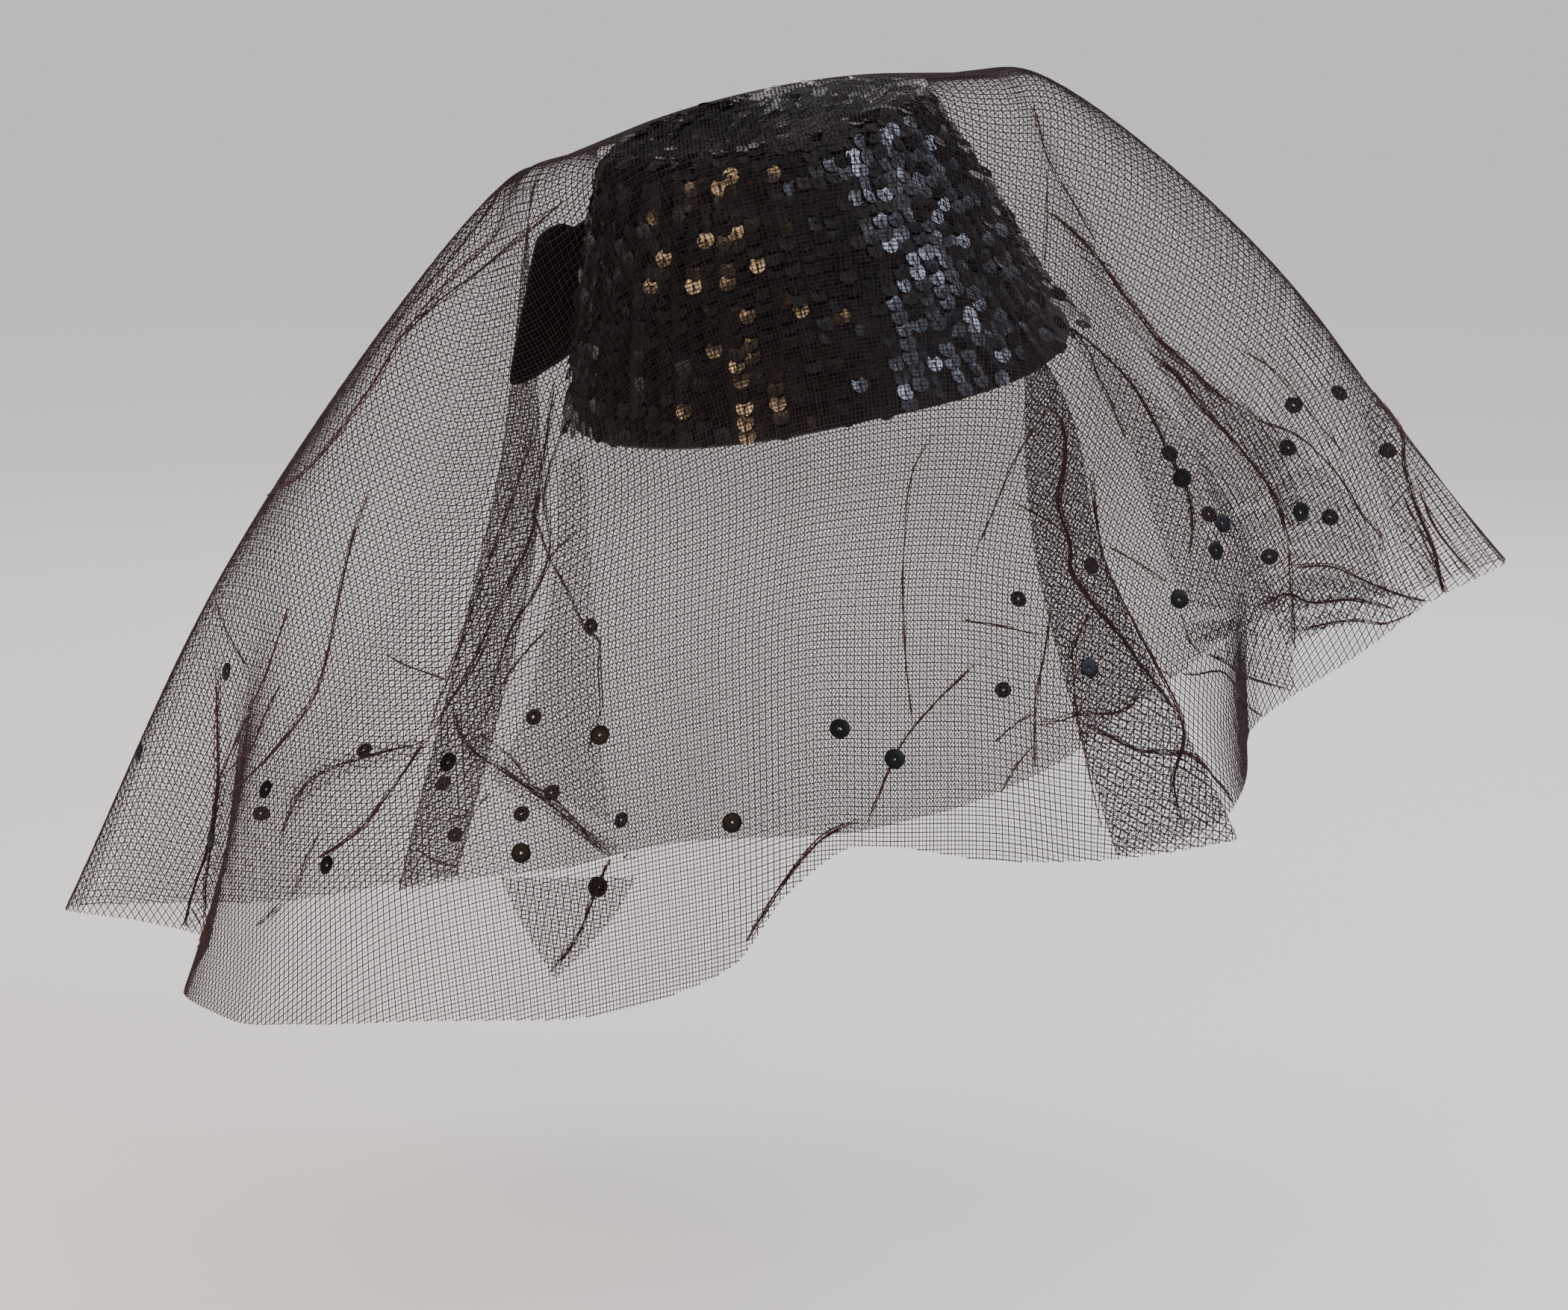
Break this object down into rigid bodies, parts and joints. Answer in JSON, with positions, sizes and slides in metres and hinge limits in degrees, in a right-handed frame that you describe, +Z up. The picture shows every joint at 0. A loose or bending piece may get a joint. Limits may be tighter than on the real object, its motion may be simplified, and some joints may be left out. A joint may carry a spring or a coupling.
{
  "type": "sequinned pillbox fascinator with net veil",
  "caption": "Tilted black sequinned pillbox hat with a velvet bow at the back and a wide net veil scattered with loose spangles.",
  "frame": {"origin": "centre of the rim opening, where the hat sits on the wearer's head", "axes": "+Z up as worn, the wearer faces -Y, +X towards the wearer's left; the crown leans 12 degrees to -X and 9.5 degrees forward"},
  "size_m": [0.4963, 0.2847, 0.2981],
  "materials": {
    "spangled_cloth": "black cloth sewn over with glossy black sequins",
    "binding_cloth": "smooth black satin edge binding",
    "velvet": "black velvet ribbon with a short pile",
    "net": "fine purplish black nylon net",
    "spangle": "glossy black cupped plastic"
  },
  "bodies": {
    "root": {"crown_side": "spangled_cloth", "crown_top": "spangled_cloth", "rim_binding": "binding_cloth", "bow_loop_outer": "velvet", "bow_loop_hidden": "velvet", "bow_knot": "velvet", "veil": "net", "veil_spangle_01": "spangle", "veil_spangle_02": "spangle", "veil_spangle_03": "spangle", "veil_spangle_04": "spangle", "veil_spangle_05": "spangle", "veil_spangle_06": "spangle", "veil_spangle_07": "spangle", "veil_spangle_08": "spangle", "veil_spangle_09": "spangle", "veil_spangle_10": "spangle", "veil_spangle_11": "spangle", "veil_spangle_12": "spangle", "veil_spangle_13": "spangle", "veil_spangle_14": "spangle", "veil_spangle_15": "spangle", "veil_spangle_16": "spangle", "veil_spangle_17": "spangle", "veil_spangle_18": "spangle", "veil_spangle_19": "spangle", "veil_spangle_20": "spangle", "veil_spangle_21": "spangle", "veil_spangle_22": "spangle", "veil_spangle_23": "spangle", "veil_spangle_24": "spangle", "veil_spangle_25": "spangle", "veil_spangle_26": "spangle", "veil_spangle_27": "spangle", "veil_spangle_28": "spangle", "veil_spangle_29": "spangle", "veil_spangle_30": "spangle", "veil_spangle_31": "spangle", "veil_spangle_32": "spangle", "veil_spangle_33": "spangle", "veil_spangle_34": "spangle", "veil_spangle_35": "spangle", "veil_spangle_36": "spangle", "veil_spangle_37": "spangle", "veil_spangle_38": "spangle"}
  },
  "joints": []
}
